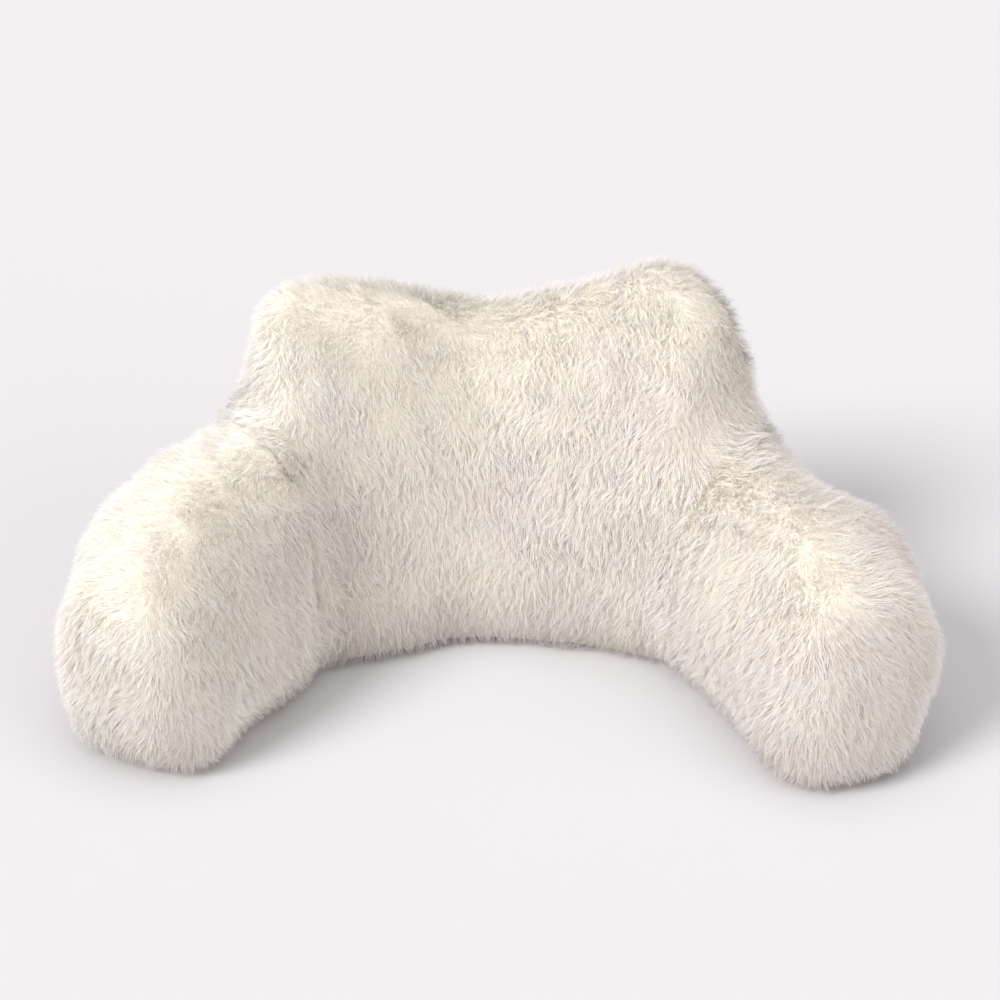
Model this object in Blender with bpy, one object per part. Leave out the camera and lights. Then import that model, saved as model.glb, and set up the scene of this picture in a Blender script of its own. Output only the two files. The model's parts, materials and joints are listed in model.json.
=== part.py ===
"""Reading pillow with arms, covered in long cream faux fur.

Three filled cushions sewn side by side into a U: a leaning backrest with two raised top corners,
and two arms splayed outwards. Metres, +Z up. The pillow stands on z = 0 with its seat towards -Y,
and the origin is under the middle of its bounding box.
"""
import math
from collections import namedtuple

import bmesh
import bpy
import numpy as np
from mathutils import Vector, noise

# ---------------------------------------------------------------------------------------------
# Driving dimensions, in metres and degrees
# ---------------------------------------------------------------------------------------------
# Each row is one upright cross-section of the U, read from the middle of the backrest outwards.
# The left side starts from the middle row of the right side.
#   aside   how far the inner edge, which borders the seat, lies beside the pillow's middle
#   ahead   how far it lies in front of the middle of the seat's back edge
#   turn    how far the section has turned from facing straight ahead
#   height  top of the pile above the floor
#   depth   thickness of the cushion near the floor, from the seat side to the outer side
#   top     the same near the top edge
#   lean    how far the middle of the top lies outside the middle of the foot
#   blunt   2 is an oval section, higher is squarer
#   rings   rings of mesh points between this row and the next
Section = namedtuple("Section", "name aside ahead turn height depth top lean blunt rings")

RIGHT_SIDE = (
    Section("middle", 0.000, 0.000, 0, 0.270, 0.175, 0.115, 0.060, 3.0, 6),
    Section("quarter", 0.078, 0.010, 8, 0.301, 0.175, 0.115, 0.060, 3.0, 5),
    Section("ear", 0.122, 0.022, 13, 0.319, 0.172, 0.110, 0.058, 2.9, 4),
    Section("ear edge", 0.141, 0.031, 21, 0.306, 0.163, 0.107, 0.046, 2.8, 4),
    Section("side", 0.150, 0.038, 32, 0.244, 0.162, 0.112, 0.036, 2.6, 3),
    Section("seam", 0.156, 0.045, 42, 0.204, 0.160, 0.122, 0.024, 2.5, 3),
    Section("arm root", 0.163, 0.053, 50, 0.200, 0.156, 0.120, 0.012, 2.5, 3),
    Section("arm back", 0.177, 0.077, 58, 0.199, 0.158, 0.114, 0.004, 2.4, 4),
    Section("arm middle", 0.205, 0.125, 62, 0.204, 0.165, 0.146, 0.004, 2.6, 5),
    Section("arm front", 0.226, 0.173, 65, 0.182, 0.142, 0.126, 0.002, 2.5, 0),
)
LEFT_SIDE = (
    Section("quarter", 0.074, 0.010, 8, 0.294, 0.175, 0.115, 0.060, 3.0, 5),
    Section("ear", 0.119, 0.026, 14, 0.300, 0.174, 0.112, 0.060, 3.0, 4),
    Section("ear edge", 0.136, 0.036, 22, 0.302, 0.162, 0.100, 0.046, 3.0, 4),
    Section("side", 0.138, 0.042, 32, 0.234, 0.157, 0.100, 0.028, 2.7, 3),
    Section("seam", 0.140, 0.048, 42, 0.214, 0.160, 0.124, 0.022, 2.6, 3),
    Section("arm root", 0.143, 0.056, 50, 0.211, 0.165, 0.134, 0.014, 2.5, 3),
    Section("arm back", 0.154, 0.078, 56, 0.212, 0.172, 0.142, 0.010, 2.4, 4),
    Section("arm middle", 0.181, 0.124, 61, 0.206, 0.167, 0.150, 0.002, 2.4, 5),
    Section("arm front", 0.208, 0.168, 65, 0.182, 0.138, 0.126, 0.000, 2.5, 0),
)

POINTS_ROUND = 64           # mesh points round a section
TIP_LENGTH = 0.058          # length of the rounded end of an arm
TIP_BLUNT = 2.6             # 2 is a half ball, higher is flatter
TIP_RINGS = 8
TIP_POLE = 0.4              # distance from the last ring to the tip's pole, in rings
TIP_SHIFT = 0.016           # how far the tip lies to the seat side of the arm's middle
TIP_CENTRE = 0.42           # height of the middle of the rounded end, as a share of the arm's
FOOT_SPREAD = 0.79          # width of the flat underside, as a share of the section's depth
CROWN = 0.008               # swell of the seat side and the outer side half way up
SEAM_GAP = 0.0003           # gap between two cushions at their seam
SEAM_DRAW = 0.006           # how far the seam is drawn in below the swell beside it
SEAM_REACH = 0.022          # how far beside the seam the cover is still drawn in

LUMP_HEIGHT = 0.0045        # broad waves of the pile
LUMP_SIZE = 0.060
LOCK_HEIGHT = 0.0095        # a lock of pile above the cover around it
LOCK_HOLLOW = 0.0040        # the gaps between locks below it
LOCK_SLIDE = 0.0050         # how far a lock's tip hangs below its root
LOCK_SHARE = 0.35           # share of the mesh points that carry a lock
LOCK_SPACING = 0.008        # locks are lower where the points lie closer than this
LOCK_SEED = 11
PILE_FREE_HEIGHT = 0.022    # the locks fade out below this height, where the pillow rests

FUR_COLOUR = (0.80, 0.74, 0.64, 1.0)
FUR_ROUGHNESS = 0.95


# ---------------------------------------------------------------------------------------------
# Cross-sections
# ---------------------------------------------------------------------------------------------
def smooth_slopes(values):
    """Slope at each row of a curve that never swings past its rows."""
    steps = np.diff(values)
    slopes = np.concatenate([steps[:1], np.zeros(len(steps) - 1), steps[-1:]])
    for row in range(1, len(steps)):
        before, after = steps[row - 1], steps[row]
        if before * after > 0:
            slopes[row] = 2 * before * after / (before + after)
    return slopes


def smooth_value(values, slopes, row, share):
    """Value between a row and the next one, on the smooth curve through all rows."""
    square, cube = share ** 2, share ** 3
    return ((2 * cube - 3 * square + 1) * values[row] + (cube - 2 * square + share) * slopes[row]
            + (3 * square - 2 * cube) * values[row + 1] + (cube - square) * slopes[row + 1])


def outline(height, depth, top, lean, blunt):
    """Closed outline of one cushion section, as (distance outwards, height) points.

    It is a rounded square that leans and narrows towards its top, and is cut flat at the floor.
    """
    angles = np.linspace(-math.pi / 2, 1.5 * math.pi, 481)
    across = np.sign(np.cos(angles)) * np.abs(np.cos(angles)) ** (2 / blunt)
    upright = np.sign(np.sin(angles)) * np.abs(np.sin(angles)) ** (2 / blunt)
    floor_level = -(1 - FOOT_SPREAD ** blunt) ** (1 / blunt)
    z = np.maximum((upright - floor_level) / (1 - floor_level), 0) * height
    share = z / height
    half = (depth + (top - depth) * share) / 2 + CROWN * np.sin(math.pi * share)
    u = depth / 2 + lean * share + across * half
    travelled = np.concatenate([[0], np.cumsum(np.hypot(np.diff(u), np.diff(z)))])
    even = np.linspace(0, travelled[-1], POINTS_ROUND, endpoint=False)
    return np.interp(even, travelled, u), np.interp(even, travelled, z)


def stand_up(u, z, aside, ahead, turn):
    """Put a section on its place in the U."""
    return np.stack([aside + u * math.sin(turn), -ahead + u * math.cos(turn), z], axis=1)


def body_rings(rows):
    """Rings of points through all rows, from the front of one arm to the front of the other."""
    names = [name for name in Section._fields if name not in ("name", "rings")]
    columns = {name: np.array([getattr(row, name) for row in rows], float) for name in names}
    slopes = {name: smooth_slopes(values) for name, values in columns.items()}
    rings = []
    for row in range(len(rows) - 1):
        for ring in range(rows[row].rings):
            share = ring / rows[row].rings
            size = {name: smooth_value(columns[name], slopes[name], row, share) for name in names}
            place = (size.pop("aside"), size.pop("ahead"), math.radians(size.pop("turn")))
            rings.append(stand_up(*outline(**size), *place))
    return rings


def tip_rings(row):
    """Rings that close an arm with a rounded end, drawn a little to the seat side."""
    u, z = outline(row.height, row.depth, row.top, row.lean, row.blunt)
    turn = math.radians(row.turn)
    middle = TIP_CENTRE * row.height
    rings = []
    for ring in range(TIP_RINGS):
        angle = math.pi / 2 * ring / (TIP_RINGS - 1 + TIP_POLE)
        forward = TIP_LENGTH * math.sin(angle) ** (2 / TIP_BLUNT)
        swell = math.cos(angle) ** (2 / TIP_BLUNT)
        rings.append(stand_up(u.mean() - TIP_SHIFT * (1 - swell) + (u - u.mean()) * swell,
                              middle + (z - middle) * swell,
                              row.aside + forward * math.cos(turn),
                              row.ahead + forward * math.sin(turn), turn))
    return rings


# ---------------------------------------------------------------------------------------------
# Seams and pile
# ---------------------------------------------------------------------------------------------
def outward(grid):
    """Unit vectors that point out of the cover at each point of a grid of rings."""
    along = np.gradient(grid, axis=0)
    around = np.roll(grid, -1, axis=1) - np.roll(grid, 1, axis=1)
    normal = np.cross(along, around)
    normal /= np.linalg.norm(normal, axis=2, keepdims=True)
    from_middle = grid - grid.mean(axis=1, keepdims=True)
    if (normal * from_middle).sum() < 0:
        normal = -normal
    return normal


def draw_in(grid, normal, seam):
    """Pull the cover in towards a seam, keeping the seam ring in its upright plane.

    Gives the new grid, and a value that is 1 at the seam and fades to 0 beside it.
    """
    ring = grid[seam]
    across = np.cross(ring[POINTS_ROUND // 4] - ring[0], (0, 0, 1))
    across /= np.linalg.norm(across)
    near = np.exp(-(((grid - ring[0]) @ across) / SEAM_REACH) ** 2)
    inward = across * ((normal @ across) * near)[..., None] - normal
    return grid + inward * (SEAM_DRAW * near * off_floor(grid))[..., None], near


def off_floor(grid):
    """0 where the pillow rests, 1 above the height at which its pile stands free."""
    return np.clip(grid[..., 2] / PILE_FREE_HEIGHT, 0, 1) ** 2


def raise_pile(grid, normal, free):
    """Raise the lumps and locks of the pile, as far as each point is free to stand up."""
    lumps = np.array([[noise.noise(Vector(point) / LUMP_SIZE) for point in ring] for ring in grid])
    spacing = np.linalg.norm(np.roll(grid, 1, axis=1) - grid, axis=2)
    free = free * np.clip(spacing / LOCK_SPACING, 0, 1) ** 2
    draw = np.random.default_rng(LOCK_SEED)
    is_lock = draw.random(lumps.shape) < LOCK_SHARE
    size = draw.random(lumps.shape)
    locks = np.where(is_lock, LOCK_HEIGHT * size, -LOCK_HOLLOW * size)
    down = normal * normal[..., 2:] - np.array([0, 0, 1])
    return (grid + normal * ((LUMP_HEIGHT * lumps + locks) * free)[..., None]
            + down * (LOCK_SLIDE * is_lock * size * free)[..., None])


def pillow_grid():
    """All rings of the pillow from the left tip to the right tip, and the two seam rings."""
    inner_rows = (RIGHT_SIDE[0],) + LEFT_SIDE
    left = [row._replace(aside=-row.aside, turn=-row.turn, rings=inner.rings)
            for row, inner in zip(LEFT_SIDE, inner_rows)]
    rows = left[::-1] + list(RIGHT_SIDE)
    starts = np.cumsum([0] + [row.rings for row in rows]) + TIP_RINGS - 1
    seams = [starts[i] for i, row in enumerate(rows) if row.name == "seam"]
    left_tip = [ring * (-1, 1, 1) for ring in tip_rings(LEFT_SIDE[-1])]
    grid = np.array(left_tip[:0:-1] + body_rings(rows) + tip_rings(RIGHT_SIDE[-1]))
    normal = outward(grid)
    free = off_floor(grid)
    for seam in seams:
        grid, near = draw_in(grid, normal, seam)
        free = free * (1 - near ** 4)
    return raise_pile(grid, normal, free), seams


# ---------------------------------------------------------------------------------------------
# Meshes
# ---------------------------------------------------------------------------------------------
def build_cushion(name, rings, seam_at_start, seam_at_end):
    """One closed cushion through its rings; each end is a flat seam face or a rounded tip."""
    mesh = bpy.data.meshes.new(name)
    body = bmesh.new()
    loops = [[body.verts.new(point) for point in ring] for ring in rings]
    for ring, following in zip(loops, loops[1:]):
        for i in range(POINTS_ROUND):
            j = (i + 1) % POINTS_ROUND
            body.faces.new((ring[i], ring[j], following[j], following[i]))
    for loop, is_seam in ((loops[0], seam_at_start), (loops[-1], seam_at_end)):
        end = body.faces.new(loop)
        if not is_seam:
            bmesh.ops.poke(body, faces=[end])
    bmesh.ops.recalc_face_normals(body, faces=body.faces)
    body.to_mesh(mesh)
    body.free()
    mesh.materials.append(fur_material(name + " fur"))
    cushion = bpy.data.objects.new(name, mesh)
    bpy.context.scene.collection.objects.link(cushion)


def fur_material(name):
    """Cream long-pile fur."""
    material = bpy.data.materials.new(name)
    material.use_nodes = True
    shader = material.node_tree.nodes["Principled BSDF"]
    shader.inputs["Base Color"].default_value = FUR_COLOUR
    shader.inputs["Roughness"].default_value = FUR_ROUGHNESS
    shader.inputs["Metallic"].default_value = 0.0
    return material


def seam_gap(grid, seam, tip):
    """Step that parts an arm from the backrest by the seam gap, square to the seam."""
    across = np.cross(grid[seam, POINTS_ROUND // 4] - grid[seam, 0], (0, 0, 1))
    across *= SEAM_GAP / np.linalg.norm(across)
    if (grid[tip, 0] - grid[seam, 0]) @ across < 0:
        across = -across
    return across


for old in list(bpy.data.objects):
    bpy.data.objects.remove(old)

pillow, (left_seam, right_seam) = pillow_grid()
corners = np.array([pillow.min(axis=(0, 1)), pillow.max(axis=(0, 1))])
pillow -= corners.mean(axis=0) * (1, 1, 0)
build_cushion("backrest", pillow[left_seam:right_seam + 1], True, True)
build_cushion("arm_left", pillow[:left_seam + 1] + seam_gap(pillow, left_seam, 0), False, True)
build_cushion("arm_right", pillow[right_seam:] + seam_gap(pillow, right_seam, -1), True, False)
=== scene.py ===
import json
import math

import bmesh
import bpy
import numpy as np
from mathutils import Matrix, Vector, bvhtree, noise

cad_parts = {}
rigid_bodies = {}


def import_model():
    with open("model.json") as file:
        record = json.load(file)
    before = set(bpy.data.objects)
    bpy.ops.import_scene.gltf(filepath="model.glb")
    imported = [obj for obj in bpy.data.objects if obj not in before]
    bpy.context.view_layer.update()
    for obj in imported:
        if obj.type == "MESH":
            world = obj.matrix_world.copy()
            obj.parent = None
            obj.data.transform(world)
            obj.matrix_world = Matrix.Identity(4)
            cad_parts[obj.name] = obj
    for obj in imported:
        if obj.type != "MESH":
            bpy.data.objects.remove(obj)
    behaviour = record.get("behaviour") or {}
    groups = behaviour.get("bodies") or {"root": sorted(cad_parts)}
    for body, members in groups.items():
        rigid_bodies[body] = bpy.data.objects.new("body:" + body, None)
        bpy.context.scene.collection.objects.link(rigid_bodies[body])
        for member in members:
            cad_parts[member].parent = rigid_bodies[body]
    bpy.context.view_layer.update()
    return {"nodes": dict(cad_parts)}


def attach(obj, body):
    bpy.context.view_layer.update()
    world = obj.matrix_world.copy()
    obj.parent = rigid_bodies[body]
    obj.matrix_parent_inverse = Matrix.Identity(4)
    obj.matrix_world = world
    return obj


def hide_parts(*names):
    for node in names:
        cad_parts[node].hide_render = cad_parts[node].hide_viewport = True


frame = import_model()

scene = bpy.context.scene


# ---------------------------------------------------------------------------------------------
# The table it lies on, the light and the camera: a plain pale sweep of paper, a soft main light
# from the upper left, a wide one from above, a pale card low on the right, and light all round.
# ---------------------------------------------------------------------------------------------
PAPER_SIZE = 30.0
PAPER_COLOUR = (0.623, 0.611, 0.628)
PAPER_ROUGHNESS = 0.9
PAPER_GLOSS = 0.1
ROOM_COLOUR = (1.0, 0.967, 0.978)
ROOM_STRENGTH = 0.47
LIGHTS = (
    # name, strength, colour, then in degrees: above the table, left of the front, softness
    ("key", 2.8, (1.0, 0.988, 0.978), 40, 51, 24),
    ("top", 1.0, (1.0, 0.99, 0.983), 85, 0, 60),
    ("card", 1.3, (1.0, 0.985, 0.97), 12, -60, 60),
)
CAMERA_PLACE = (0.0455, -1.7184, 1.1663)
CAMERA_DOWN = math.radians(30.4)
CAMERA_TURN = math.radians(1.5)
CAMERA_LENS = 85
CAMERA_SENSOR = 36
CAMERA_SEES = 60

paper_mesh = bpy.data.meshes.new("paper")
half_paper = PAPER_SIZE / 2
paper_mesh.from_pydata(
    [(-half_paper, -half_paper, 0), (half_paper, -half_paper, 0),
     (half_paper, half_paper, 0), (-half_paper, half_paper, 0)], [], [(0, 1, 2, 3)])
paper = bpy.data.objects.new("paper", paper_mesh)
scene.collection.objects.link(paper)
paper_finish = bpy.data.materials.new("pale paper")
paper_finish.use_nodes = True
paper_look = paper_finish.node_tree.nodes["Principled BSDF"]
paper_look.inputs["Base Color"].default_value = (*PAPER_COLOUR, 1)
paper_look.inputs["Roughness"].default_value = PAPER_ROUGHNESS
paper_look.inputs["Specular IOR Level"].default_value = PAPER_GLOSS
paper_mesh.materials.append(paper_finish)

room = bpy.data.worlds.new("room")
room.use_nodes = True
room.node_tree.nodes["Background"].inputs["Color"].default_value = (*ROOM_COLOUR, 1)
room.node_tree.nodes["Background"].inputs["Strength"].default_value = ROOM_STRENGTH
scene.world = room


def soft_light(name, strength, colour, height, from_front, softness):
    """A large far light, height above the table and turned from straight in front to the left."""
    lamp = bpy.data.lights.new(name, "SUN")
    lamp.energy = strength
    lamp.color = colour
    lamp.angle = softness
    stand = bpy.data.objects.new(name, lamp)
    way = Vector((
        -math.sin(from_front) * math.cos(height),
        -math.cos(from_front) * math.cos(height),
        math.sin(height)))
    stand.rotation_euler = way.to_track_quat("Z", "Y").to_euler()
    scene.collection.objects.link(stand)


for light_name, strength, colour, *angles in LIGHTS:
    soft_light(light_name, strength, colour, *(math.radians(angle) for angle in angles))

camera = bpy.data.cameras.new("camera")
camera.lens = CAMERA_LENS
camera.sensor_width = CAMERA_SENSOR
camera.clip_end = CAMERA_SEES
camera_stand = bpy.data.objects.new("camera", camera)
camera_stand.location = CAMERA_PLACE
camera_stand.rotation_euler = (math.pi / 2 - CAMERA_DOWN, 0, CAMERA_TURN)
scene.collection.objects.link(camera_stand)
scene.camera = camera_stand
scene.view_settings.view_transform = "Standard"


# ---------------------------------------------------------------------------------------------
# The three filled covers: the backrest and its two arms, of knitted backing cloth with the pile
# outside, cut in panels, sewn inside out, turned and stuffed with fibre until they are round. Each
# is taken in from its solid by the pile, levelled with its neighbour at the seam, and blown up.
# ---------------------------------------------------------------------------------------------
COVER_VOXEL = 0.013
SAME_PLACE = 1e-5
OUTWARD_ROUNDS = 4
EVEN_ROUNDS = 3
UNDERSIDE = (0.35, 0.80)
SEAM_NEAR = 0.004
SEAM_FAR = 0.030
FLOOR_NEAR = 0.004
FLOOR_FAR = 0.030
FOOT_TOP = 0.045
FOOT_HELD = 0.8
ON_FLOOR = 0.002
CLEAR_OF_FLOOR = 0.0005
# how deep the cloth lies below the tips of the pile
PILE_HEIGHT = 0.007
PILE_DEPTH = 0.0055
DEPTH_PASSES = 2
DEPTH_STEP = 0.006
# the stuffing's push, and how far it moves the cloth at most
STUFFING_PRESSURE = 4.0
STUFFING_FRAMES = 20
STUFFING_CAP = 0.006
# how far the filling rounds out the cloth's hollows, and those beside the arm seams
FILL_REACH = 0.045
FILL_FACTOR = 1.5
FILL_MOST = 0.012
FILL_ROUNDS = 2
SEAM_FILL_NEAR = 0.015
SEAM_FILL_FAR = 0.060
SEAM_FILL_REACH = 0.065
SEAM_FILL_MOST = 0.030
SEAM_FILL_OVER = 0.004
SEAT_FACING = 0.45
SKIN_BATCH = 200
FULLER = (
    # places where the filling pushes out or has settled: centre, reach, shift
    ((0.190, 0.085, 0.297), 0.035, (0.012, 0.0, 0.006)),
    ((0.205, 0.085, 0.250), 0.030, (0.005, 0.0, 0.000)),
    ((-0.175, -0.065, 0.008), 0.045, (0.006, -0.010, 0.0)),
    ((-0.105, -0.005, 0.008), 0.065, (0.002, -0.021, 0.0)),
    ((0.030, 0.025, 0.008), 0.070, (0.0, -0.006, 0.0)),
    ((-0.178, -0.015, 0.155), 0.050, (0.006, -0.010, 0.016)),
    ((-0.203, 0.000, 0.192), 0.032, (0.001, -0.004, 0.009)),
    ((0.345, -0.130, 0.110), 0.055, (0.008, 0.003, 0.0)),
    ((0.322, -0.165, 0.150), 0.040, (-0.002, 0.006, -0.003)),
    ((0.297, -0.185, 0.012), 0.050, (0.002, -0.009, 0.0)),
)


def points_of(mesh):
    found = np.empty(len(mesh.vertices) * 3)
    mesh.vertices.foreach_get("co", found)
    return found.reshape(-1, 3)


def outward_of(mesh):
    found = np.empty(len(mesh.vertices) * 3)
    mesh.vertices.foreach_get("normal", found)
    return found.reshape(-1, 3)


def value_of(mesh, label):
    found = np.empty(len(mesh.vertices))
    mesh.attributes[label].data.foreach_get("value", found)
    return found


def vector_of(mesh, label):
    found = np.empty(len(mesh.vertices) * 3)
    mesh.attributes[label].data.foreach_get("vector", found)
    return found.reshape(-1, 3)


def keep_value(mesh, label, values, kind="FLOAT"):
    mesh.attributes.new(label, kind, "POINT").data.foreach_set("value", values)


def set_points(mesh, points):
    mesh.vertices.foreach_set("co", points.ravel())
    mesh.update()


def ramp(value, low, high):
    """0 up to low, 1 from high on, and a smooth climb between them."""
    share = np.clip((value - low) / (high - low), 0, 1)
    return share * share * (3 - 2 * share)


def unit(vectors):
    return vectors / np.maximum(np.linalg.norm(vectors, axis=1, keepdims=True), 1e-9)


def evened(mesh, values, rounds):
    """Averages a vertex's values with its neighbours'."""
    edges = np.empty(len(mesh.edges) * 2, dtype=np.int64)
    mesh.edges.foreach_get("vertices", edges)
    edges = edges.reshape(-1, 2)
    joined = np.bincount(edges.ravel(), minlength=len(mesh.vertices))[:, None]
    for _ in range(rounds):
        total = np.zeros_like(values)
        for column in range(values.shape[1]):
            total[:, column] = (
                np.bincount(edges[:, 0], values[edges[:, 1], column], len(values))
                + np.bincount(edges[:, 1], values[edges[:, 0], column], len(values)))
        values = (values + total / joined) / 2
    return values


def baked(piece):
    """The piece's mesh with its modifiers applied."""
    bpy.context.view_layer.update()
    seen = piece.evaluated_get(bpy.context.evaluated_depsgraph_get())
    return bpy.data.meshes.new_from_object(seen)


def take_modifiers(piece):
    made = baked(piece)
    piece.modifiers.clear()
    piece.data = made


def tree_of(mesh):
    mesh.calc_loop_triangles()
    return bvhtree.BVHTree.FromPolygons(
        [v.co.copy() for v in mesh.vertices], [tuple(t.vertices) for t in mesh.loop_triangles])


def far_from(points, trees):
    return np.array([min(t.find_nearest(Vector(p))[3] for t in trees) for p in points])


def faces_of(mesh):
    """Each face's middle, the way it faces, and its area."""
    middle, facing, area = (np.empty(len(mesh.polygons) * size) for size in (3, 3, 1))
    mesh.polygons.foreach_get("center", middle)
    mesh.polygons.foreach_get("normal", facing)
    mesh.polygons.foreach_get("area", area)
    return middle.reshape(-1, 3), facing.reshape(-1, 3), area


def skin_of(names):
    """Middles, outward area vectors and areas of the faces that show on all cushions together."""
    trees = {name: tree_of(frame["nodes"][name].data) for name in names}
    skins = []
    for name in names:
        middle, facing, area = faces_of(frame["nodes"][name].data)
        shows = far_from(middle, [trees[other] for other in names if other != name]) > SEAM_NEAR
        skins.append((middle[shows], (facing * area[:, None])[shows], area[shows]))
    return [np.concatenate(column) for column in zip(*skins)]


def skin_around(points, reach, skin):
    """The way the whole pillow's skin faces around each point, and how far it lies above it.

    Both are 0 for a point that is hidden deep in a seam.
    """
    skin_middles, skin_facings, skin_areas = skin
    facing, above = np.empty_like(points), np.empty(len(points))
    for start in range(0, len(points), SKIN_BATCH):
        some = slice(start, start + SKIN_BATCH)
        apart = skin_middles[None] - points[some, None]
        share = np.clip(1 - (apart ** 2).sum(2) / reach ** 2, 0, None) ** 2
        facing[some] = unit(share @ skin_facings)
        share *= skin_areas
        lying = ((apart * facing[some, None]).sum(2) * share).sum(1)
        above[some] = lying / np.maximum(share.sum(1), 1e-12)
    return facing, above


solid_skin = skin_of(("backrest", "arm_left", "arm_right"))


def footing(points):
    """1 at the floor, where the pillow stands flat, and 0 above its foot."""
    return 1 - ramp(points[:, 2], FLOOR_NEAR, FOOT_TOP)


def seam_filling(points, share):
    """How far points beside a seam move out, to lie level with the skin on both of its sides."""
    facing, above = skin_around(points, SEAM_FILL_REACH, solid_skin)
    facing[:, 2] *= 1 - footing(points)
    facing = unit(facing)
    to_seat = ramp(-facing[:, 1], 0.0, SEAT_FACING)
    most = FILL_MOST + (SEAM_FILL_MOST - FILL_MOST) * to_seat
    sunk = np.clip(above - PILE_DEPTH + SEAM_FILL_OVER * to_seat, 0, most) * share
    return facing * sunk[:, None]


def fuller(points, places, way):
    """The points moved by the shifts around their places, or moved back where way is -1."""
    points = points.copy()
    for centre, reach, shift in FULLER:
        off = np.linalg.norm(places - np.array(centre), axis=1) / reach
        points += way * np.array(shift) * np.exp(-off ** 2)[:, None]
    return points


def cut_cover(name):
    """The cloth of one cover: the skin of its solid, joined up and in even patches."""
    cover = bpy.data.objects.new(name + "_cover", frame["nodes"][name].data.copy())
    scene.collection.objects.link(cover)
    knit = bmesh.new()
    knit.from_mesh(cover.data)
    bmesh.ops.remove_doubles(knit, verts=knit.verts, dist=SAME_PLACE)
    knit.to_mesh(cover.data)
    knit.free()
    remesh = cover.modifiers.new("even", "REMESH")
    remesh.mode = "VOXEL"
    remesh.voxel_size = COVER_VOXEL
    take_modifiers(cover)
    return cover


def taken_in(mesh, name, outward, free, by_seam):
    """Where the cloth lies: in from its solid by the pile, with the hollows filled out."""
    whole = points_of(mesh)
    points = whole - outward * (PILE_HEIGHT * free)[:, None]
    evener = evened(mesh, points, EVEN_ROUNDS)
    points = evener + (evener - evened(mesh, evener, EVEN_ROUNDS))
    own = tree_of(frame["nodes"][name].data)
    for _ in range(DEPTH_PASSES):
        found = [own.find_nearest(Vector(p)) for p in points]
        depth = np.array([-(Vector(p) - f[0]).dot(f[1]) for p, f in zip(points, found)])
        short = evened(mesh, ((depth - PILE_DEPTH) * free)[:, None], EVEN_ROUNDS)
        points += outward * np.clip(short, -DEPTH_STEP, DEPTH_STEP)
    facing, above = skin_around(points, FILL_REACH, solid_skin)
    sunk = np.clip(FILL_FACTOR * (above - PILE_DEPTH), 0, FILL_MOST) * (1 - footing(whole))
    points += facing * evened(mesh, (sunk * (1 - by_seam))[:, None], FILL_ROUNDS)
    points += seam_filling(points, by_seam)
    points = fuller(points, whole, 1)
    points[:, 2] = np.where(whole[:, 2] < ON_FLOOR, whole[:, 2], points[:, 2])
    return points


def stuff(cover, empty, outward, free):
    """Blows the cover up from its empty shape, as far as the stuffing's cap and only outwards."""
    cloth = cover.modifiers.new("stuffing", "CLOTH")
    cloth.settings.use_pressure = True
    cloth.settings.uniform_pressure_force = STUFFING_PRESSURE
    cloth.settings.effector_weights.gravity = 0
    cloth.point_cache.frame_start = 1
    cloth.point_cache.frame_end = STUFFING_FRAMES
    for step in range(1, STUFFING_FRAMES + 1):
        scene.frame_set(step)
    moved = points_of(baked(cover)) - empty
    cover.modifiers.clear()
    moved -= outward * np.minimum((moved * outward).sum(1), 0)[:, None]
    reach = np.linalg.norm(moved, axis=1)
    moved *= (np.minimum(reach, STUFFING_CAP) / np.maximum(reach, 1e-9) * free)[:, None]
    full = empty + moved
    full[:, 2] = np.maximum(full[:, 2], CLEAR_OF_FLOOR)
    set_points(cover.data, full)
    scene.frame_set(1)


def stuffed_cover(name, neighbours):
    cover = cut_cover(name)
    whole = points_of(cover.data)
    outward = unit(evened(cover.data, outward_of(cover.data), OUTWARD_ROUNDS))
    away = far_from(whole, [tree_of(frame["nodes"][other].data) for other in neighbours])
    by_seam = 1 - ramp(away, SEAM_FILL_NEAR, SEAM_FILL_FAR)
    under = ramp(-outward[:, 2], *UNDERSIDE) * (1 - ramp(whole[:, 2], FLOOR_NEAR, FLOOR_FAR))
    held = np.maximum(1 - ramp(away, SEAM_NEAR, SEAM_FAR), under)
    free = (1 - held) * (1 - FOOT_HELD * footing(whole))
    empty = taken_in(cover.data, name, outward, free, by_seam)
    set_points(cover.data, empty)
    stuff(cover, empty, outward, free)
    keep_value(cover.data, "from_seam", away)
    keep_value(cover.data, "seam_fill", by_seam)
    smooth = cover.modifiers.new("round", "SUBSURF")
    smooth.levels = smooth.render_levels = 1
    take_modifiers(cover)
    full = points_of(cover.data)
    levelled = seam_filling(fuller(full, full, -1), value_of(cover.data, "seam_fill"))
    set_points(cover.data, full + levelled)
    cover.data.shade_smooth()
    return cover


# ---------------------------------------------------------------------------------------------
# The finishes: long acrylic fibre, ivory with beige, pink and yellow in it, darker and warmer at
# its roots than at its tips, partly a beige tint and partly painted shade of the deep pile, and the
# knitted backing it stands on, with the same tint and painted shade. A strand's place across its
# map is its shade of colour, and along it root to tip.
# ---------------------------------------------------------------------------------------------
SHADES = (
    (0.00, (0.87, 0.81, 0.76)),
    (0.14, (0.94, 0.88, 0.86)),
    (0.30, (0.955, 0.92, 0.90)),
    (0.46, (0.965, 0.935, 0.905)),
    (0.62, (0.965, 0.925, 0.84)),
    (0.78, (0.955, 0.95, 0.91)),
    (1.00, (0.985, 0.975, 0.965)),
)
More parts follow.
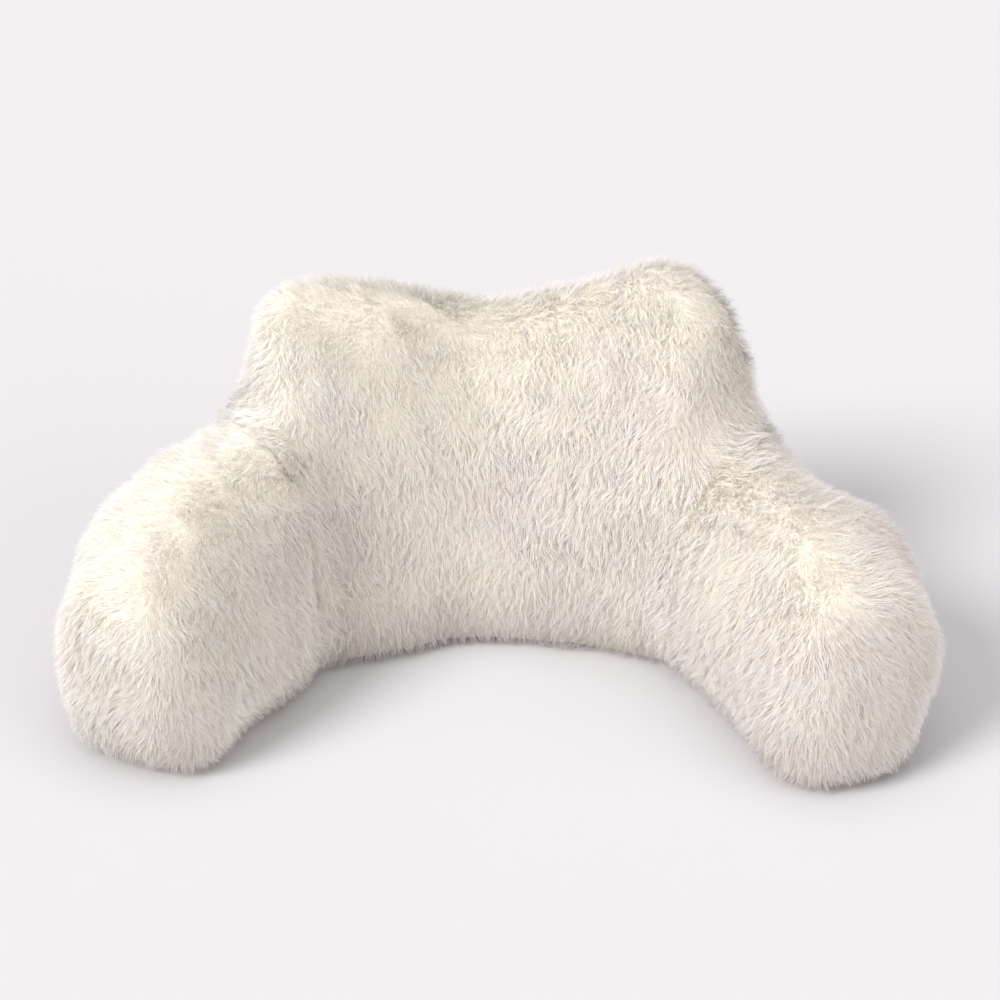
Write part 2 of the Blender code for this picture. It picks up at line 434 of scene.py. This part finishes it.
# the roots' colour: partly a beige tint, partly painted shade deep in the pile
ROOT_TINT_AND_SHADE = (0.927, 0.877, 0.797)
TIP_TINT = (1.0, 1.0, 1.0)
TIP_FROM = 0.8
FIBRE_ROUGHNESS = 0.62
FIBRE_GLOSS = 0.25
FIBRE_SHEEN = 0.08
FIBRE_SHEEN_ROUGHNESS = 0.5
FIBRE_SHEEN_TINT = (1.0, 0.97, 0.92)
PATCH_SCALE = 14
PATCH_DETAIL = 3
KNIT_SCALE = 420
KNIT_DETAIL = 2
KNIT_SHADE = (0.78, 1.0)
KNIT_BUMP = 0.6
KNIT_HEIGHT = 0.002


def shade_ramp(nodes, links, source):
    shades = nodes.new("ShaderNodeValToRGB")
    band = shades.color_ramp
    while len(band.elements) < len(SHADES):
        band.elements.new(0.5)
    for stop, (place, colour) in zip(band.elements, SHADES):
        stop.position = place
        stop.color = (*colour, 1)
    links.new(source, shades.inputs["Fac"])
    return shades.outputs["Color"]


def fibre_finish(name):
    """A new finish for the fibre, with its nodes, its links and its shader."""
    finish = bpy.data.materials.new(name)
    finish.use_nodes = True
    shader = finish.node_tree.nodes["Principled BSDF"]
    shader.inputs["Roughness"].default_value = FIBRE_ROUGHNESS
    shader.inputs["Specular IOR Level"].default_value = FIBRE_GLOSS
    shader.inputs["Sheen Weight"].default_value = FIBRE_SHEEN
    shader.inputs["Sheen Roughness"].default_value = FIBRE_SHEEN_ROUGHNESS
    shader.inputs["Sheen Tint"].default_value = (*FIBRE_SHEEN_TINT, 1)
    return finish, finish.node_tree.nodes, finish.node_tree.links, shader


pile_finish, nodes, links, pile_look = fibre_finish("ivory pile")
strand_map = nodes.new("ShaderNodeUVMap")
strand_map.uv_map = "OFBake"
across = nodes.new("ShaderNodeSeparateXYZ")
links.new(strand_map.outputs["UV"], across.inputs["Vector"])
strand_shade = shade_ramp(nodes, links, across.outputs["X"])
# painted shade: each strand darker and warmer towards its root, white from TIP_FROM on
root_to_tip = nodes.new("ShaderNodeValToRGB")
root_to_tip.color_ramp.elements[0].color = (*ROOT_TINT_AND_SHADE, 1)
root_to_tip.color_ramp.elements[1].position = TIP_FROM
root_to_tip.color_ramp.elements[1].color = (*TIP_TINT, 1)
links.new(across.outputs["Y"], root_to_tip.inputs["Fac"])
fibre_tint_and_shade = nodes.new("ShaderNodeVectorMath")
fibre_tint_and_shade.operation = "MULTIPLY"
links.new(strand_shade, fibre_tint_and_shade.inputs[0])
links.new(root_to_tip.outputs["Color"], fibre_tint_and_shade.inputs[1])
links.new(fibre_tint_and_shade.outputs["Vector"], pile_look.inputs["Base Color"])

backing_finish, nodes, links, backing_look = fibre_finish("ivory backing")
place = nodes.new("ShaderNodeTexCoord")
patches = nodes.new("ShaderNodeTexNoise")
patches.inputs["Scale"].default_value = PATCH_SCALE
patches.inputs["Detail"].default_value = PATCH_DETAIL
links.new(place.outputs["Object"], patches.inputs["Vector"])
backing_shade = shade_ramp(nodes, links, patches.outputs["Fac"])
knit_noise = nodes.new("ShaderNodeTexNoise")
knit_noise.inputs["Scale"].default_value = KNIT_SCALE
knit_noise.inputs["Detail"].default_value = KNIT_DETAIL
links.new(place.outputs["Object"], knit_noise.inputs["Vector"])
knit_shade = nodes.new("ShaderNodeMapRange")
knit_shade.inputs["To Min"].default_value = KNIT_SHADE[0]
knit_shade.inputs["To Max"].default_value = KNIT_SHADE[1]
links.new(knit_noise.outputs["Fac"], knit_shade.inputs["Value"])
dimmed = nodes.new("ShaderNodeVectorMath")
dimmed.operation = "SCALE"
links.new(backing_shade, dimmed.inputs[0])
links.new(knit_shade.outputs["Result"], dimmed.inputs["Scale"])
# the backing takes the roots' beige tint and their painted shade
backing_tint_and_shade = nodes.new("ShaderNodeVectorMath")
backing_tint_and_shade.operation = "MULTIPLY"
backing_tint_and_shade.inputs[1].default_value = ROOT_TINT_AND_SHADE
links.new(dimmed.outputs["Vector"], backing_tint_and_shade.inputs[0])
links.new(backing_tint_and_shade.outputs["Vector"], backing_look.inputs["Base Color"])
raised = nodes.new("ShaderNodeBump")
raised.inputs["Strength"].default_value = KNIT_BUMP
raised.inputs["Distance"].default_value = KNIT_HEIGHT
links.new(knit_noise.outputs["Fac"], raised.inputs["Height"])
links.new(raised.outputs["Normal"], backing_look.inputs["Normal"])


# ---------------------------------------------------------------------------------------------
# The way the pile lies: brushed straight down the front and the insides of the arms, outwards over
# their tops, down the outsides and the back, the same way on both sides of a seam, with a whorl at
# the end of each arm and one at the upper left of the backrest.
# ---------------------------------------------------------------------------------------------
WHORLS = (
    # centre, reach, strength
    ((-0.260, -0.161, 0.163), 0.040, 0.10),
    ((0.276, -0.183, 0.159), 0.040, 0.10),
    ((-0.105, 0.091, 0.268), 0.040, 0.35),
)
WHORL_TONE = 0.30
WHORL_TONE_REACH = 0.018
# beside a seam the two covers share one lay, as far as this
SHARED = (0.008, 0.040)
PARTING = 0.09
PARTING_PLACE = -0.07
BACK_FROM = 0.25
STEEP = (0.2, 0.6)
RISE_ROUNDS = 3
LAY_ROUNDS = 10
# how the lay turns from straight to outwards, from the steep parts to the tops
BACKREST_TOP = (0.50, 0.97)
BACKREST_STRAIGHT_LESS = 0.55
BACKREST_OUTWARDS = (0.08, 0.9)
ARM_TOP = (0.15, 0.85)
ARM_INSIDE = 0.3
ARM_OUTWARDS = (0.35, 0.8)
ARM_DOWN_LESS = 0.5
SEAM_STRAIGHT_LESS = 0.6
# 1 lies flat along the cover, and less stands up from it
LIES_LEAST = 0.80
SEAM_LIES = 0.6
SEAM_LIES_WITHIN = (0.002, 0.009)
SWIRL = 0.35
SWIRL_SIZE = 0.070
RUFFLE = 0.55
RUFFLE_SIZE = 0.014
# where the pile is planted: up to and just past the seams, and thinned out underneath
PLANTED_FROM = (0.0003, 0.0012)
PLANTED_PAST = 4
BARE_UNDER = (0.45, 0.80)
BARE_BELOW = (0.003, 0.016)
PILE_LENGTH = 0.0145
PILE_LENGTH_VARIES = 0.0015
PILE_LENGTH_SIZE = 0.045
SEAM_LONGER = 0.002
FOOT_SHORTER = 0.15
FOOT_SHORTER_BELOW = 0.03
TONE_MIDDLE = 0.5
TONE_DRIFTS = (
    # how much, how wide, seed
    (0.40, 0.085, 4),
    (0.24, 0.030, 5),
    (0.20, 0.013, 6),
)
# painted light: how far the tone drops from the lit left side to the right, over the half width
PAINTED_SHADE_TO_THE_RIGHT = 0.22
HALF_WIDTH = 0.36
SCATTER_REACH = 0.050


def drift(points, size, seed):
    """Slow random values over the pillow, from -1 to 1."""
    shift = Vector((seed * 7.3, seed * 3.1, seed * 5.7))
    return np.array([noise.noise(Vector(p) / size + shift) for p in points])


def outer_skin_of(covers):
    """The same as skin_of for the finished covers, taking each four of their faces as one."""
    skins = []
    for cover in covers:
        middle, facing, area = faces_of(cover.data)
        corners = np.empty(len(area) * 4, dtype=np.int32)
        cover.data.polygons.foreach_get("vertices", corners)
        away = value_of(cover.data, "from_seam")[corners].reshape(-1, 4).mean(1)
        area *= away > SEAM_NEAR
        weighed = (facing * area[:, None]).reshape(-1, 4, 3).sum(1)
        total = area.reshape(-1, 4).sum(1)
        shows = total > 0
        skins.append((middle.reshape(-1, 4, 3).mean(1)[shows], weighed[shows], total[shows]))
    return [np.concatenate(column) for column in zip(*skins)]


def lay_of(mesh, points, rise, shared, in_side):
    """Which way the pile is brushed along the cover; shorter where neighbours disagree."""
    from_parting = points[:, 0] - (0 if in_side else PARTING_PLACE)
    outwards = np.zeros_like(points)
    outwards[:, 0] = from_parting / (np.abs(from_parting) + PARTING)
    down = np.zeros_like(points)
    down[:, 2] = -1
    # straight down the slope as seen from the front, and down the back behind
    facing = np.where(rise[:, 1] > BACK_FROM, -1.0, 1.0)
    straight = np.stack([0 * facing, -rise[:, 2] * facing, rise[:, 1] * facing], 1)
    steep = ramp(np.linalg.norm(straight, axis=1), *STEEP)[:, None]
    straight = unit(straight) * steep + down * (1 - steep)
    topness = ramp(rise[:, 2], *(ARM_TOP if in_side else BACKREST_TOP))[:, None]
    if in_side:
        inner = ramp(-rise[:, 0] * in_side, -ARM_INSIDE, ARM_INSIDE)[:, None]
        outer = (outwards * (ARM_OUTWARDS[0] + ARM_OUTWARDS[1] * topness)
                 + down * (1 - ARM_DOWN_LESS * topness))
        lay = straight * inner + outer * (1 - inner)
        by_seam = straight * (1 - SEAM_STRAIGHT_LESS * topness) + outwards * topness
        lay = lay * (1 - shared) + by_seam * shared
    else:
        lay = (straight * (1 - BACKREST_STRAIGHT_LESS * topness)
               + outwards * (BACKREST_OUTWARDS[0] + BACKREST_OUTWARDS[1] * topness))
    for centre, reach, strength in WHORLS:
        off = points - np.array(centre)
        far = np.linalg.norm(off, axis=1, keepdims=True)
        lay += unit(off) * strength * np.exp(-(far / reach) ** 2)
    lay -= rise * (lay * rise).sum(1, keepdims=True)
    return evened(mesh, unit(lay), LAY_ROUNDS)


def tone_of(points):
    tone = np.full(len(points), TONE_MIDDLE)
    for strength, size, seed in TONE_DRIFTS:
        tone += strength * drift(points, size, seed)
    # painted light and shade: the left side lighter, the right side darker, as the light falls
    tone -= PAINTED_SHADE_TO_THE_RIGHT * points[:, 0] / HALF_WIDTH
    for centre, _, _ in WHORLS:
        far = np.linalg.norm(points - np.array(centre), axis=1)
        tone -= WHORL_TONE * np.exp(-(far / WHORL_TONE_REACH) ** 2)
    return tone


def comb(cover, in_side):
    """Stores, on the cover's points, how the pile stands, lies, how long and how dense it is."""
    mesh = cover.data
    points = points_of(mesh)
    rise = outward_of(mesh)
    glow = unit(skin_around(points, SCATTER_REACH, outer_skin)[0] + 1e-3 * rise)
    away = value_of(mesh, "from_seam")
    shared = (1 - ramp(away, *SHARED))[:, None]
    rise = unit(unit(evened(mesh, rise, RISE_ROUNDS)) * (1 - shared) + glow * shared)
    lay = lay_of(mesh, points, rise, shared, in_side)
    lies = np.clip(np.linalg.norm(lay, axis=1, keepdims=True), LIES_LEAST, 1)
    lies *= SEAM_LIES + (1 - SEAM_LIES) * ramp(away, *SEAM_LIES_WITHIN)[:, None]
    lay = unit(lay)
    turn = SWIRL * drift(points, SWIRL_SIZE, 1) + RUFFLE * drift(points, RUFFLE_SIZE, 2)
    turn = turn[:, None] * 2
    lay = unit(lay * np.cos(turn) + np.cross(rise, lay) * np.sin(turn)) * lies
    planted = ramp(away, *PLANTED_FROM)
    planted = np.clip(PLANTED_PAST * evened(mesh, planted[:, None], 1)[:, 0], 0, 1)
    facing_down = ramp(-rise[:, 2], *BARE_UNDER) * (1 - ramp(points[:, 2], *BARE_BELOW))
    length = (PILE_LENGTH + PILE_LENGTH_VARIES * drift(points, PILE_LENGTH_SIZE, 3)
              + SEAM_LONGER * shared[:, 0])
    length *= 1 - FOOT_SHORTER + FOOT_SHORTER * ramp(points[:, 2], 0.0, FOOT_SHORTER_BELOW)
    for label, vectors in (("rise", rise), ("lay", lay), ("glow", glow)):
        kept = mesh.attributes.new(label, "FLOAT_VECTOR", "POINT")
        kept.data.foreach_set("vector", vectors.ravel())
    keep_value(mesh, "pile_density", planted * (1 - facing_down))
    keep_value(mesh, "pile_length", length)
    keep_value(mesh, "pile_tone", tone_of(points))


# ---------------------------------------------------------------------------------------------
# The pile itself: tapered strands, each a closed three-sided spike, the long ones bent over once.
# They grow from the cover at an even spacing and lean together in small pointed tufts, with their
# tips clear of the table.
# ---------------------------------------------------------------------------------------------
LONG_SHAPES = (
    # half width, bow and sideways kink, each as a share of the strand's length
    (0.013, 0.14, 0.060),
    (0.014, 0.10, -0.065),
    (0.015, 0.16, 0.035),
    (0.017, 0.12, -0.040),
    (0.014, 0.18, 0.080),
    (0.018, 0.13, 0.000),
)
LONG_BEND = 0.52
LONG_ROOT = 0.6
SHORT_SHAPES = (
    # half width at the root, and how far the tip leans over to each side
    (0.015, -0.06),
    (0.017, 0.05),
    (0.019, 0.00),
    (0.021, 0.03),
)
RING = ((0.55, 0.0), (-0.35, 1.0), (-0.35, -1.0))
# the strand's strip of its map: as wide as this, and from root to tip up it
SHADE_WIDTH = 0.02
MAP_ROOT = 0.02
MAP_LENGTH = 0.96
MOST_DENSE = 1e6
LENGTH_VARIES = (0.86, 1.12)
TUFT_STRAY = 0.70
TUFT_SHADE = 0.10
STRAND_SHADE = 0.16
LEAST_GATHERED = 0.6
# share of the full length, and how far at most it gathers to its tuft
LONG_REACH = (1.0, 1.0)
SHORT_REACH = (0.9, 0.7)
# how much of the strands' shading is the cover's, as light scattered in the pile makes it
SOFTNESS = 0.95


def strand(name, rows, tip, coat):
    """A closed three-sided spike through the given rows of corners to its tip."""
    corners = [corner for row in rows for corner in row[1]] + [tip]
    heights = [row[0] for row in rows for _ in row[1]] + [1.0]
    faces = [(0, 2, 1)]
    for first in range(0, 3 * len(rows), 3):
        for side in range(3):
            after = (side + 1) % 3
            if first + 3 < 3 * len(rows):
                faces.append((first + side, first + after, first + 3 + after, first + 3 + side))
            else:
                faces.append((first + side, first + after, len(corners) - 1))
    spike = bpy.data.meshes.new(name)
    spike.from_pydata(corners, [], faces)
    spike.shade_smooth()
    chart = spike.uv_layers.new(name="OFBake")
    for face in spike.polygons:
        for corner, loop in enumerate(face.loop_indices):
            height = heights[spike.loops[loop].vertex_index]
            chart.data[loop].uv = (SHADE_WIDTH * (corner % 2), MAP_ROOT + MAP_LENGTH * height)
    coat.objects.link(bpy.data.objects.new(name, spike))


long_coat = bpy.data.collections.new("long strands")
short_coat = bpy.data.collections.new("short strands")
for coat in (long_coat, short_coat):
    scene.collection.children.link(coat)
for number, (half, bow, kink) in enumerate(LONG_SHAPES):
    root = [(x * half * LONG_ROOT, y * half * LONG_ROOT, 0.0) for x, y in RING]
    bend = [(bow + x * half, kink + y * half, LONG_BEND) for x, y in RING]
    strand(f"long_{number}", [(0.0, root), (LONG_BEND, bend)], (0.0, 0.0, 1.0), long_coat)
for number, (half, tilt) in enumerate(SHORT_SHAPES):
    root = [(x * half, y * half, 0.0) for x, y in RING]
    strand(f"short_{number}", [(0.0, root)], (0.0, tilt, 1.0), short_coat)

PILE = {
    "Long Spacing": 0.0045,
    "Short Spacing": 0.00115,
    "Tuft Spacing": 0.0039,
    "Lean": 0.95,
    "Gather": 0.70,
    "Stray": 0.24,
    "Table Height": 0.0012,
    "Seed": 5,
    "Long Strands": long_coat,
    "Short Strands": short_coat,
    "Finish": pile_finish,
}


def pile_tree():
    tree = bpy.data.node_groups.new("pile", "GeometryNodeTree")
    face = tree.interface
    face.new_socket("Geometry", in_out="INPUT", socket_type="NodeSocketGeometry")
    for label, kind in (
            ("Long Spacing", "Float"), ("Short Spacing", "Float"), ("Tuft Spacing", "Float"),
            ("Lean", "Float"), ("Gather", "Float"), ("Stray", "Float"),
            ("Table Height", "Float"), ("Part", "Int"), ("Seed", "Int"),
            ("Long Strands", "Collection"), ("Short Strands", "Collection"),
            ("Finish", "Material")):
        face.new_socket(label, in_out="INPUT", socket_type="NodeSocket" + kind)
    face.new_socket("Geometry", in_out="OUTPUT", socket_type="NodeSocketGeometry")
    nodes, links = tree.nodes, tree.links
    given = nodes.new("NodeGroupInput")

    def feed(socket, value):
        if isinstance(value, bpy.types.NodeSocket):
            links.new(value, socket)
        else:
            socket.default_value = value

    def vector_math(operation, *values):
        made = nodes.new("ShaderNodeVectorMath")
        made.operation = operation
        for slot, value in enumerate(values):
            scales = operation == "SCALE" and slot == 1
            feed(made.inputs["Scale"] if scales else made.inputs[slot], value)
        return made.outputs["Value" if operation == "LENGTH" else "Vector"]

    def maths(operation, *values):
        made = nodes.new("ShaderNodeMath")
        made.operation = operation
        for slot, value in enumerate(values):
            feed(made.inputs[slot], value)
        return made.outputs[0]

    def stored(name, kind):
        made = nodes.new("GeometryNodeInputNamedAttribute")
        made.data_type = kind
        made.inputs["Name"].default_value = name
        return made.outputs["Attribute"]

    def seeded(made, seed):
        links.new(maths("ADD", given.outputs["Seed"], seed), made.inputs["Seed"])
        return made

    def random_vector(size, seed):
        made = seeded(nodes.new("FunctionNodeRandomValue"), seed)
        made.data_type = "FLOAT_VECTOR"
        made.inputs[0].default_value = (-1, -1, -1)
        made.inputs[1].default_value = (1, 1, 1)
        return vector_math("SCALE", made.outputs[0], size)

    def random_number(low, high, seed):
        made = seeded(nodes.new("FunctionNodeRandomValue"), seed)
        made.data_type = "FLOAT"
        made.inputs[2].default_value = low
        made.inputs[3].default_value = high
        return made.outputs[1]

    def random_choice(count, seed):
        made = seeded(nodes.new("FunctionNodeRandomValue"), seed)
        made.data_type = "INT"
        made.inputs[4].default_value = 0
        made.inputs[5].default_value = count - 1
        return made.outputs[2]

    def scattered(spacing, seed):
        made = seeded(nodes.new("GeometryNodeDistributePointsOnFaces"), seed)
        made.distribute_method = "POISSON"
        links.new(given.outputs["Geometry"], made.inputs["Mesh"])
        links.new(spacing, made.inputs["Distance Min"])
        made.inputs["Density Max"].default_value = MOST_DENSE
        links.new(stored("pile_density", "FLOAT"), made.inputs["Density Factor"])
        return made.outputs["Points"]

    here = nodes.new("GeometryNodeInputPosition").outputs[0]
    rise, lay = stored("rise", "FLOAT_VECTOR"), stored("lay", "FLOAT_VECTOR")
    length = stored("pile_length", "FLOAT")

    def tip(stray, seed):
        way = vector_math("ADD", lay, vector_math("SCALE", rise, given.outputs["Lean"]))
        way = vector_math("NORMALIZE", vector_math("ADD", way, random_vector(stray, seed)))
        own = maths("MULTIPLY", length, random_number(*LENGTH_VARIES, seed + 1))
        return vector_math("ADD", here, vector_math("SCALE", way, own))

    tufts = scattered(given.outputs["Tuft Spacing"], 1)
    nearest = nodes.new("GeometryNodeSampleNearest")
    links.new(tufts, nearest.inputs["Geometry"])
    links.new(here, nearest.inputs["Sample Position"])

    def of_tuft(value, kind):
        made = nodes.new("GeometryNodeSampleIndex")
        made.data_type = kind
        links.new(tufts, made.inputs["Geometry"])
        links.new(value, made.inputs["Value"])
        links.new(nearest.outputs["Index"], made.inputs["Index"])
        return made.outputs[0]

    tuft_tip = of_tuft(tip(TUFT_STRAY, 3), "FLOAT_VECTOR")
    tuft_shade = of_tuft(random_number(-1, 1, 6), "FLOAT")
    part = nodes.new("FunctionNodeCompare")
    part.data_type = "INT"
    part.operation = "EQUAL"
    links.new(stored("pile_part", "INT"), part.inputs[2])
    links.new(given.outputs["Part"], part.inputs[3])

    def strand_way(share, gather, seed):
        """From a strand's root to its tip, gathered to its tuft and kept clear of the table."""
        gathered = random_number(gather * LEAST_GATHERED, gather, seed + 4)
        between = nodes.new("ShaderNodeMix")
        between.data_type = "VECTOR"
        links.new(maths("MULTIPLY", given.outputs["Gather"], gathered), between.inputs[0])
        links.new(tip(given.outputs["Stray"], seed + 1), between.inputs[4])
        links.new(tuft_tip, between.inputs[5])
        shorter = vector_math("SCALE", vector_math("SUBTRACT", between.outputs[1], here), share)
        reached = nodes.new("ShaderNodeSeparateXYZ")
        links.new(vector_math("ADD", here, shorter), reached.inputs[0])
        height = maths("MAXIMUM", reached.outputs[2], given.outputs["Table Height"])
        lifted = nodes.new("ShaderNodeCombineXYZ")
        links.new(reached.outputs[0], lifted.inputs[0])
        links.new(reached.outputs[1], lifted.inputs[1])
        links.new(height, lifted.inputs[2])
        return vector_math("SUBTRACT", lifted.outputs[0], here)

    def strand_shades(seed):
        own = random_number(-STRAND_SHADE, STRAND_SHADE, seed + 5)
        shade = maths("ADD", stored("pile_tone", "FLOAT"), own)
        shade = maths("ADD", shade, maths("MULTIPLY", tuft_shade, TUFT_SHADE))
        shade = maths("MINIMUM", maths("MAXIMUM", shade, 0.0), 1.0)
        return maths("MULTIPLY", shade, 1 - SHADE_WIDTH)

    def coat(spacing, shapes, count, share, gather, seed):
        """Strands of one kind: where they root, where their tips reach and which shade they are."""
        way = strand_way(share, gather, seed)
        turned = nodes.new("FunctionNodeAxesToRotation")
        turned.primary_axis = "Z"
        turned.secondary_axis = "X"
        links.new(way, turned.inputs["Primary Axis"])
        links.new(rise, turned.inputs["Secondary Axis"])
        keep = nodes.new("GeometryNodeStoreNamedAttribute")
        keep.data_type = "FLOAT"
        keep.domain = "POINT"
        keep.inputs["Name"].default_value = "shade"
        links.new(scattered(spacing, seed), keep.inputs["Geometry"])
        links.new(strand_shades(seed), keep.inputs["Value"])
        variants = nodes.new("GeometryNodeCollectionInfo")
        links.new(shapes, variants.inputs["Collection"])
        variants.inputs["Separate Children"].default_value = True
        variants.inputs["Reset Children"].default_value = True
        grown = nodes.new("GeometryNodeInstanceOnPoints")
        links.new(keep.outputs[0], grown.inputs["Points"])
        links.new(part.outputs[0], grown.inputs["Selection"])
        links.new(variants.outputs[0], grown.inputs["Instance"])
        grown.inputs["Pick Instance"].default_value = True
        links.new(random_choice(count, seed + 6), grown.inputs["Instance Index"])
        links.new(turned.outputs[0], grown.inputs["Rotation"])
        links.new(vector_math("LENGTH", way), grown.inputs["Scale"])
        return grown.outputs[0]

    both = nodes.new("GeometryNodeJoinGeometry")
    links.new(coat(given.outputs["Long Spacing"], given.outputs["Long Strands"],
                   len(LONG_SHAPES), *LONG_REACH, 10), both.inputs[0])
    links.new(coat(given.outputs["Short Spacing"], given.outputs["Short Strands"],
                   len(SHORT_SHAPES), *SHORT_REACH, 40), both.inputs[0])
    real = nodes.new("GeometryNodeRealizeInstances")
    links.new(both.outputs[0], real.inputs[0])

    strand_chart = nodes.new("ShaderNodeSeparateXYZ")
    links.new(stored("OFBake", "FLOAT_VECTOR"), strand_chart.inputs[0])
    shaded = nodes.new("ShaderNodeCombineXYZ")
    links.new(maths("ADD", strand_chart.outputs[0], stored("shade", "FLOAT")), shaded.inputs[0])
    links.new(strand_chart.outputs[1], shaded.inputs[1])
    mapped = nodes.new("GeometryNodeStoreNamedAttribute")
    mapped.data_type = "FLOAT2"
    mapped.domain = "CORNER"
    mapped.inputs["Name"].default_value = "OFBake"
    links.new(real.outputs[0], mapped.inputs["Geometry"])
    links.new(shaded.outputs[0], mapped.inputs["Value"])
    finished = nodes.new("GeometryNodeSetMaterial")
    links.new(mapped.outputs[0], finished.inputs["Geometry"])
    links.new(given.outputs["Finish"], finished.inputs["Material"])
    given_back = nodes.new("NodeGroupOutput")
    links.new(finished.outputs[0], given_back.inputs[0])
    return tree


def soften(mesh):
    """Turns the strands' shading towards the cover's, as light scattered in the pile does."""
    soft = unit(outward_of(mesh) * (1 - SOFTNESS) + vector_of(mesh, "glow") * SOFTNESS)
    mesh.normals_split_custom_set_from_vertices(soft.tolist())


pile_nodes = pile_tree()


def grow(cover, name, part):
    """One panel of pile on its cover, as a plain mesh."""
    piece = bpy.data.objects.new(name, cover.data.copy())
    scene.collection.objects.link(piece)
    growth = piece.modifiers.new("pile", "NODES")
    growth.node_group = pile_nodes
    sockets = {s.name: s.identifier for s in pile_nodes.interface.items_tree
               if s.in_out == "INPUT"}
    for label, value in {**PILE, "Part": part}.items():
        growth[sockets[label]] = value
    take_modifiers(piece)
    soften(piece.data)
    for label in ("rise", "lay", "glow", "pile_density", "pile_length", "pile_tone",
                  "pile_part", "shade", "from_seam", "seam_fill"):
        found = piece.data.attributes.get(label)
        if found:
            piece.data.attributes.remove(found)
    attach(piece, "root")


# ---------------------------------------------------------------------------------------------
# The pillow put together: each cover is stuffed and combed, and carries its pile in panels, as a
# maker cuts it, front and back on the backrest and inside and outside on each arm.
# ---------------------------------------------------------------------------------------------
CUSHIONS = {
    # name: what it is sewn to, which side of the seat it is on, and its panels of pile
    "backrest": (("arm_left", "arm_right"), 0,
                 ("front_left", "back_left", "front_right", "back_right")),
    "arm_left": (("backrest",), -1, ("inside", "outside")),
    "arm_right": (("backrest",), 1, ("inside", "outside")),
}
ARM_PANEL_FROM = -0.1
BACK_PANEL_FROM = 0.15


def panel_of(cover, in_side):
    """The number of the panel that each of the cover's points belongs to."""
    rise = vector_of(cover.data, "rise")
    if in_side:
        return (rise[:, 0] * in_side > ARM_PANEL_FROM).astype(np.int32)
    behind = np.where(rise[:, 1] < BACK_PANEL_FROM, 0, 1)
    on_right = points_of(cover.data)[:, 0] > 0
    return np.where(on_right, behind + 2, behind).astype(np.int32)


covers = {name: stuffed_cover(name, neighbours) for name, (neighbours, _, _) in CUSHIONS.items()}
outer_skin = outer_skin_of(covers.values())
for cushion_name, (_, in_side, panels) in CUSHIONS.items():
    cover = covers[cushion_name]
    comb(cover, in_side)
    cover.data.materials.clear()
    cover.data.materials.append(backing_finish)
    keep_value(cover.data, "pile_part", panel_of(cover, in_side), "INT")
    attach(cover, "root")
    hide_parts(cushion_name)
    for number, panel in enumerate(panels):
        grow(cover, f"{cushion_name}_pile_{panel}", number)

for coat in (long_coat, short_coat):
    for spike in list(coat.objects):
        bpy.data.objects.remove(spike)
    bpy.data.collections.remove(coat)
